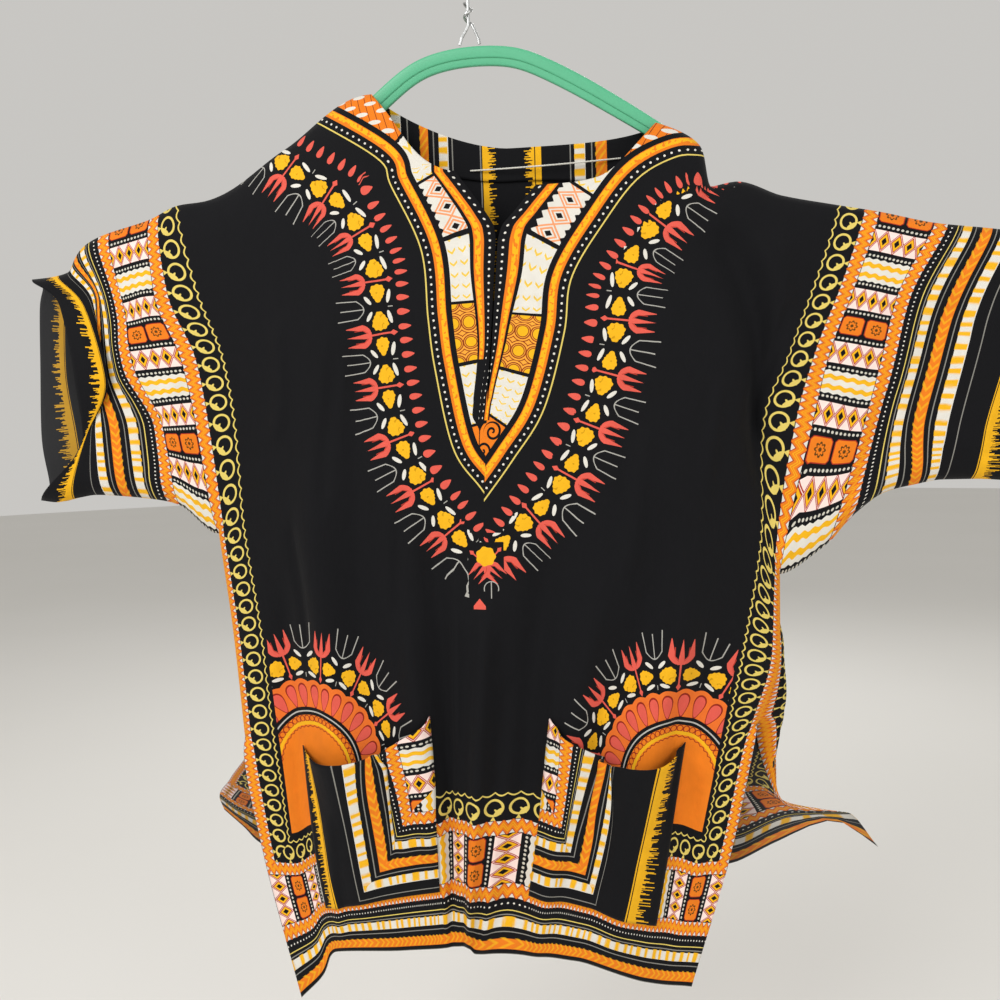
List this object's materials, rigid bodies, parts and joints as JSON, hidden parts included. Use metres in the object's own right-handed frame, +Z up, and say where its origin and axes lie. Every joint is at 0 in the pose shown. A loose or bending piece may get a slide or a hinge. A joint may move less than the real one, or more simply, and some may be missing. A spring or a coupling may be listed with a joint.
{
  "type": "dashiki shirt on a coat hanger",
  "caption": "Loose pullover shirt with kimono sleeves, slit neck, side vents and patch pockets, hanging on a plastic hanger with a wire hook.",
  "frame": {"origin": "inside crest of the hanger's hook, where it rests on a rail", "axes": "+Z up, the shirt's front faces -Y, +X to the right seen from the front"},
  "size_m": [0.9077, 0.0994, 0.9206],
  "materials": {
    "printed_cotton": "matt printed plain-weave cotton",
    "white_string": "twisted string",
    "mint_plastic": "satin moulded plastic",
    "steel_wire": "plated wire"
  },
  "bodies": {
    "root": {"front": "printed_cotton", "back": "printed_cotton", "neck_facing": "printed_cotton", "pocket_left": "printed_cotton", "pocket_right": "printed_cotton", "neck_loop": "white_string", "hanger": "mint_plastic", "hanger_hook": "steel_wire", "hanger_leg": "steel_wire"}
  },
  "joints": []
}
